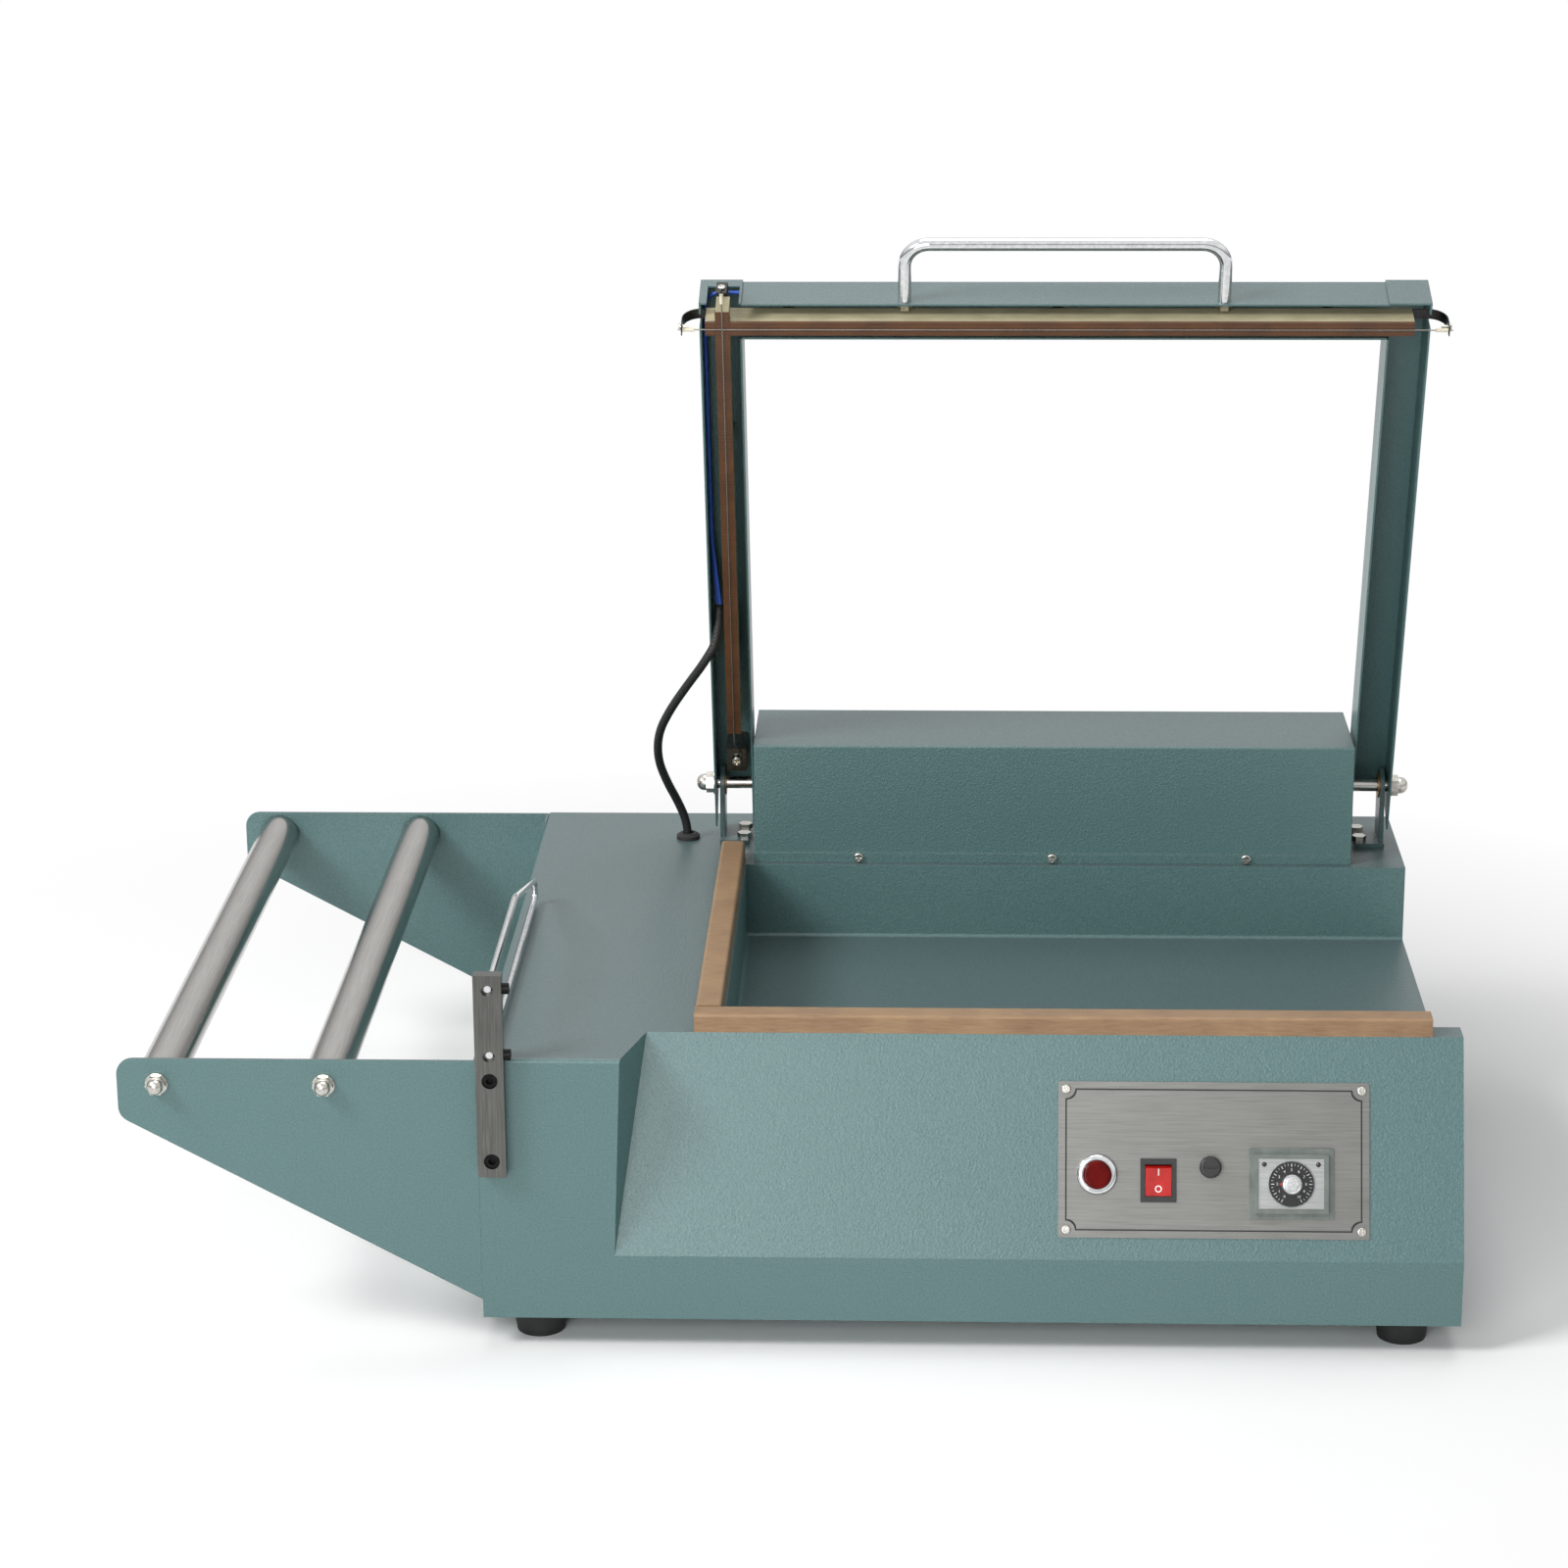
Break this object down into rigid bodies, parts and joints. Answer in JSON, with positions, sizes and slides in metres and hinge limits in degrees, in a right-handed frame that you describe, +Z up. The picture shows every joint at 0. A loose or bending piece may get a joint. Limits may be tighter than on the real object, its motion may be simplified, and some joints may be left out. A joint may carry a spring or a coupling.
{
  "type": "film sealing machine",
  "caption": "Bench-top L-bar film sealer and cutter with a sprung sealing arm, sunken goods tray, film roll cradle, film guide and sloped control panel",
  "frame": {"origin": "middle of the bounding box's underside, on the floor under the feet", "axes": "+X to the operator's right along the front, +Y from the front to the back, +Z up"},
  "size_m": [0.9636, 0.5952, 0.7463],
  "materials": {
    "enamel": "hammered enamel, semi-gloss",
    "foot_rubber": "matt",
    "plated_steel": "bright plated",
    "spring_steel": "dark, oiled",
    "bronze": "turned",
    "silicone": "matt, woven face",
    "black_plastic": "moulded",
    "etched_aluminium": "fine brushed",
    "bright_chrome": "polished",
    "timer_plastic": "moulded",
    "red_plastic": "translucent moulded",
    "satin_steel": "ground",
    "milled_aluminium": "milled",
    "black_oxide_steel": "blackened",
    "loom_sleeve": "ribbed",
    "core_steel": "varnished laminations",
    "coil_wrap": "taped winding",
    "cream_plastic": "moulded",
    "glass_epoxy": "sawn laminate",
    "ptfe_tape": "coated glass cloth",
    "resistance_wire": "drawn",
    "blue_cable": "extruded"
  },
  "bodies": {
    "machine": {"axle_nuts": "plated_steel", "body_casing": "enamel", "bottom_pan": "enamel", "bracket_bolts": "plated_steel", "button_housing": "bright_chrome", "control_plate": "etched_aluminium", "cover_rails": "plated_steel", "cover_screws": "plated_steel", "cradle_bolts": "plated_steel", "cradle_plate_back": "enamel", "cradle_plate_front": "enamel", "foot_screws": "plated_steel", "fuse_holder": "black_plastic", "goods_tray": "enamel", "guide_bar": "milled_aluminium", "guide_screws": "black_oxide_steel", "hinge_bracket_left": "plated_steel", "hinge_bracket_right": "plated_steel", "hinge_bushes": "bronze", "limit_switch": "black_plastic", "loom_grommet": "foot_rubber", "mains_gland": "black_plastic", "plate_screws": "plated_steel", "power_relay": "black_plastic", "rear_cover": "enamel", "return_springs": "spring_steel", "roller_axles": "satin_steel", "rubber_feet": "foot_rubber", "seal_pad_front": "silicone", "seal_pad_left": "silicone", "switch_housing": "black_plastic", "terminal_block": "cream_plastic", "timer_housing": "timer_plastic", "transformer_coil": "coil_wrap", "transformer_core": "core_steel", "wiring_loom": "loom_sleeve"},
    "sealing_arm": {"arm_left_channel": "enamel", "arm_right_channel": "enamel", "arm_front_channel": "enamel", "arm_handle": "bright_chrome", "seal_board_front": "glass_epoxy", "seal_board_left": "glass_epoxy", "seal_tapes": "ptfe_tape", "board_posts": "milled_aluminium", "arm_fixings": "plated_steel", "wire_springs": "spring_steel", "wire_screws": "plated_steel", "wire_sleeves": "cream_plastic", "cutting_wires": "resistance_wire", "arm_wires": "blue_cable", "hinge_shaft": "satin_steel", "shaft_nuts": "plated_steel", "crank_levers": "plated_steel"},
    "start_button": {"start_button": "red_plastic"},
    "power_rocker": {"power_rocker": "red_plastic"},
    "fuse_cap": {"fuse_cap": "black_plastic"},
    "timer_dial": {"timer_dial": "black_plastic"},
    "outer_roller": {"outer_roller": "satin_steel"},
    "inner_roller": {"inner_roller": "satin_steel"},
    "guide_loop": {"guide_loop": "bright_chrome"}
  },
  "joints": [
    {"name": "arm_hinge", "type": "hinge", "parent": "machine", "child": "sealing_arm", "pos_m": [0, 0.22, 0.269], "axis": [1, 0, 0], "range_deg": [0, 72], "stiffness_Nm_per_rad": 6, "springref_deg": -57.3, "deforming": ["return_springs", "wiring_loom"]},
    {"name": "outer_roller_spin", "type": "hinge", "parent": "machine", "child": "outer_roller", "pos_m": [-0.4533, 0, 0.202], "axis": [0, 1, 0], "continuous": true},
    {"name": "inner_roller_spin", "type": "hinge", "parent": "machine", "child": "inner_roller", "pos_m": [-0.3343, 0, 0.202], "axis": [0, 1, 0], "continuous": true},
    {"name": "button_press", "type": "slide", "parent": "machine", "child": "start_button", "axis": [0, 0.9368, -0.3498], "range_m": [0, 0.003], "stiffness_N_per_m": 400, "springref_m": -0.002},
    {"name": "rocker_tip", "type": "hinge", "parent": "machine", "child": "power_rocker", "pos_m": [0.2574, -0.26319, 0.1247], "axis": [1, 0, 0], "range_deg": [-20, 0]},
    {"name": "fuse_twist", "type": "hinge", "parent": "machine", "child": "fuse_cap", "pos_m": [0.2942, -0.26257, 0.13493], "axis": [0, -0.9368, 0.3498], "range_deg": [0, 60]},
    {"name": "timer_turn", "type": "hinge", "parent": "machine", "child": "timer_dial", "pos_m": [0.3514, -0.27125, 0.126], "axis": [0, -0.9368, 0.3498], "range_deg": [-240, 30]},
    {"name": "guide_slide", "type": "slide", "parent": "machine", "child": "guide_loop", "axis": [0, 1, 0], "range_m": [-0.15, 0]}
  ]
}
